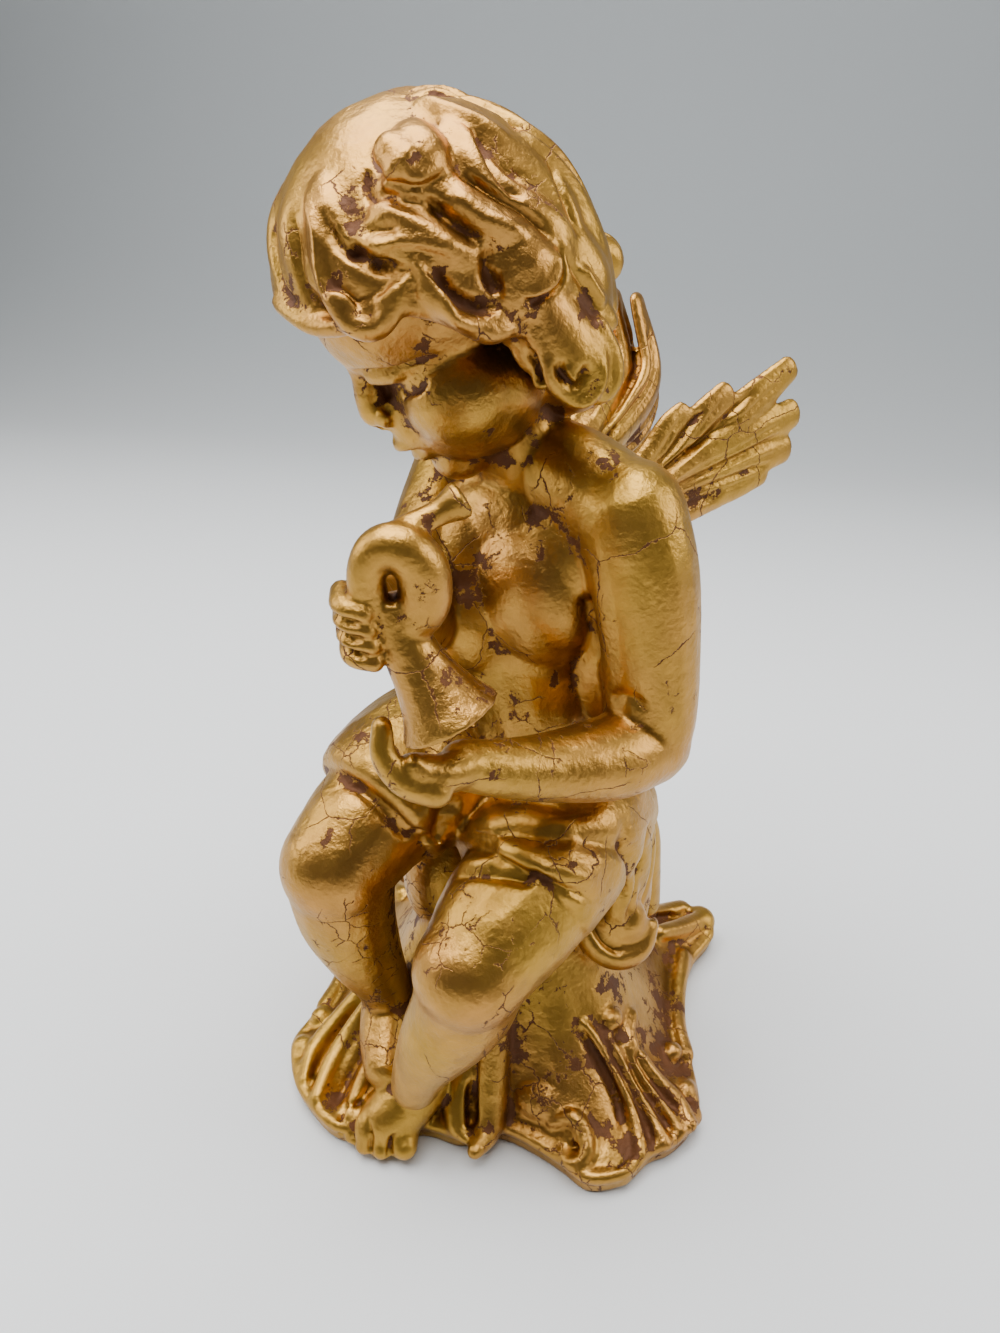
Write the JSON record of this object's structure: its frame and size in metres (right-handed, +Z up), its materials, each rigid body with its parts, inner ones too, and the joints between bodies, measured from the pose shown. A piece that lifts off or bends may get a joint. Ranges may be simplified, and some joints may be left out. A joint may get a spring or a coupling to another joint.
{
  "type": "cherub figurine",
  "caption": "Seated winged cherub with a hunting horn on a scrolled rococo base, cast in one piece and gilded; stands as an ornament.",
  "frame": {"origin": "middle of the flat underside, where the base stands", "axes": "+Z up; the base's front edge faces -Y; +X is the figure's own left side"},
  "size_m": [0.1402, 0.1635, 0.2808],
  "materials": {
    "gilding": "gold leaf, crinkled and cracked, over a brown ground on cast resin"
  },
  "bodies": {
    "root": {"cherub_figurine": "gilding"}
  },
  "joints": []
}
